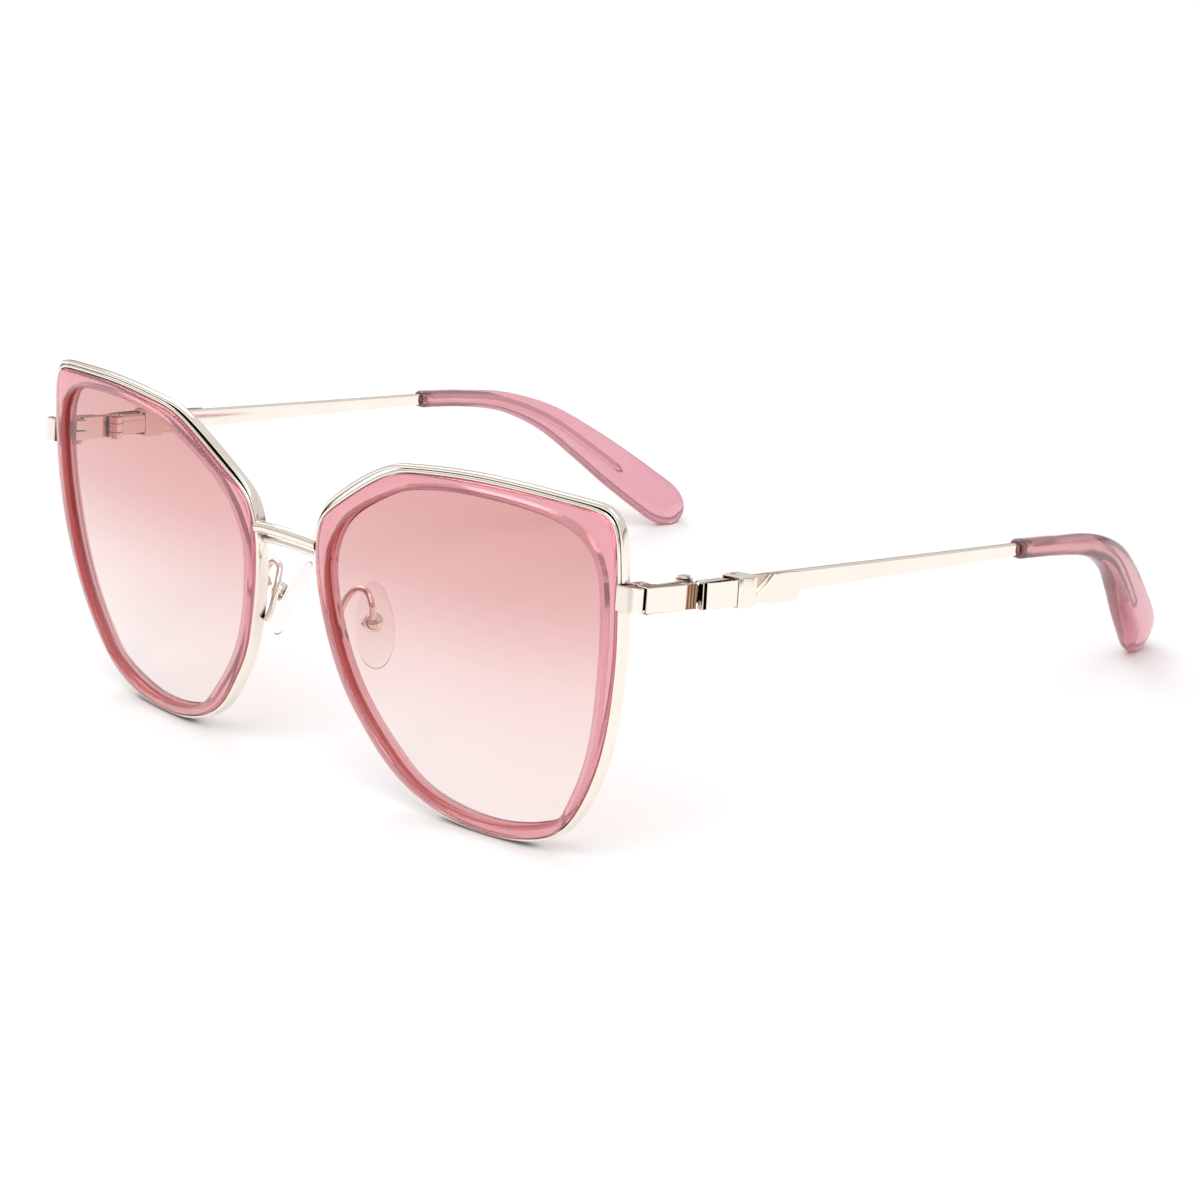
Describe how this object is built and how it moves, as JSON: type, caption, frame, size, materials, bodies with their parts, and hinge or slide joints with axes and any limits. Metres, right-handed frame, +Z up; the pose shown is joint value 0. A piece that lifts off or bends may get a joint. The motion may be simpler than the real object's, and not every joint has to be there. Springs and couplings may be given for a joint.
{
  "type": "sunglasses",
  "caption": "Cat eye sunglasses with metal eyewires, translucent liners, tinted lenses, a double bridge, rocking nose pads and folding temples with a bow ornament.",
  "frame": {"origin": "middle of the footprint, on the surface that the eyewires and the temple tips stand on", "axes": "+Z up; +X towards the wearer's left; +Y from the front towards the ears"},
  "size_m": [0.145, 0.1264, 0.0531],
  "materials": {
    "plated_metal": "polished pale gold plating",
    "acetate": "polished translucent rose acetate",
    "lens_tint": "rose tint that fades to nearly clear at the bottom",
    "pad_silicone": "clear soft silicone"
  },
  "bodies": {
    "front": {"acetate_liner_left": "acetate", "lens_left": "lens_tint", "eyewire_left": "plated_metal", "brow_wire_left": "plated_metal", "endpiece_block_left": "plated_metal", "endpiece_arm_left": "plated_metal", "rim_lock_upper_left": "plated_metal", "rim_lock_lower_left": "plated_metal", "rim_lock_screw_left": "plated_metal", "hinge_front_left": "plated_metal", "hinge_screw_left": "plated_metal", "pad_arm_left": "plated_metal", "pad_box_left": "plated_metal", "pad_screw_left": "plated_metal", "acetate_liner_right": "acetate", "lens_right": "lens_tint", "eyewire_right": "plated_metal", "brow_wire_right": "plated_metal", "endpiece_block_right": "plated_metal", "endpiece_arm_right": "plated_metal", "rim_lock_upper_right": "plated_metal", "rim_lock_lower_right": "plated_metal", "rim_lock_screw_right": "plated_metal", "hinge_front_right": "plated_metal", "hinge_screw_right": "plated_metal", "pad_arm_right": "plated_metal", "pad_box_right": "plated_metal", "pad_screw_right": "plated_metal", "bridge_front_bar": "plated_metal", "bridge_back_bar": "plated_metal"},
    "temple_left": {"hinge_temple_left": "plated_metal", "temple_bar_left": "plated_metal", "ribbon_loop_left": "plated_metal", "ribbon_keeper_left": "plated_metal", "ribbon_tail_left": "plated_metal", "temple_tip_left": "acetate"},
    "temple_right": {"hinge_temple_right": "plated_metal", "temple_bar_right": "plated_metal", "ribbon_loop_right": "plated_metal", "ribbon_keeper_right": "plated_metal", "ribbon_tail_right": "plated_metal", "temple_tip_right": "acetate"},
    "pad_left": {"nose_pad_left": "pad_silicone"},
    "pad_right": {"nose_pad_right": "pad_silicone"}
  },
  "joints": [
    {"name": "temple_left_fold", "type": "hinge", "parent": "front", "child": "temple_left", "pos_m": [0.0682, -0.04614, 0.03808], "axis": [0, 0.1323, 0.9912], "range_deg": [0, 84]},
    {"name": "temple_right_fold", "type": "hinge", "parent": "front", "child": "temple_right", "pos_m": [-0.0682, -0.04614, 0.03808], "axis": [0, -0.1323, -0.9912], "range_deg": [0, 76]},
    {"name": "pad_left_rock", "type": "hinge", "parent": "front", "child": "pad_left", "pos_m": [0.01132, -0.05586, 0.02407], "axis": [0.6542, 0.7563, 0.0065], "range_deg": [-8, 8]},
    {"name": "pad_right_rock", "type": "hinge", "parent": "front", "child": "pad_right", "pos_m": [-0.01132, -0.05586, 0.02407], "axis": [-0.6542, 0.7563, 0.0065], "range_deg": [-8, 8]}
  ]
}
